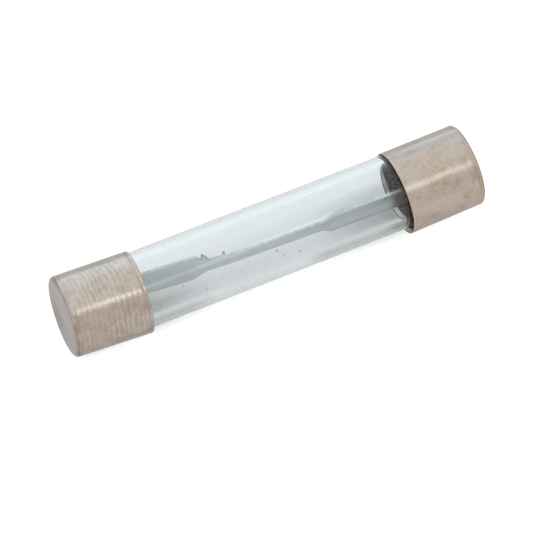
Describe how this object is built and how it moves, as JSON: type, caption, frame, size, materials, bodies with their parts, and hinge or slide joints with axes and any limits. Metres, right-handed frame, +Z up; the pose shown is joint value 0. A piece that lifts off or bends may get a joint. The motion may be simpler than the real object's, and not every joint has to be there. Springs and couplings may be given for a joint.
{
  "type": "cartridge fuse",
  "caption": "Glass tube cartridge fuse: a clear tube with a nickel-plated cap on each end and a flat punched link inside that melts on overcurrent.",
  "frame": {"origin": "the middle of the glass tube, on its axis", "axes": "+X along the tube's axis towards the right cap, +Z up, the fuse lying level"},
  "size_m": [0.0328, 0.0065, 0.0065],
  "materials": {
    "clear_glass": "clear, smooth, very faintly cool",
    "nickel_cap": "warm nickel plate over brass, satin with fine drawing rings",
    "zinc_link": "dull rolled zinc, brighter on the cut edges",
    "solder": "dull set solder"
  },
  "bodies": {
    "root": {"glass_tube": "clear_glass", "left_end_cap": "nickel_cap", "right_end_cap": "nickel_cap", "fuse_link": "zinc_link", "left_solder": "solder", "right_solder": "solder"}
  },
  "joints": []
}
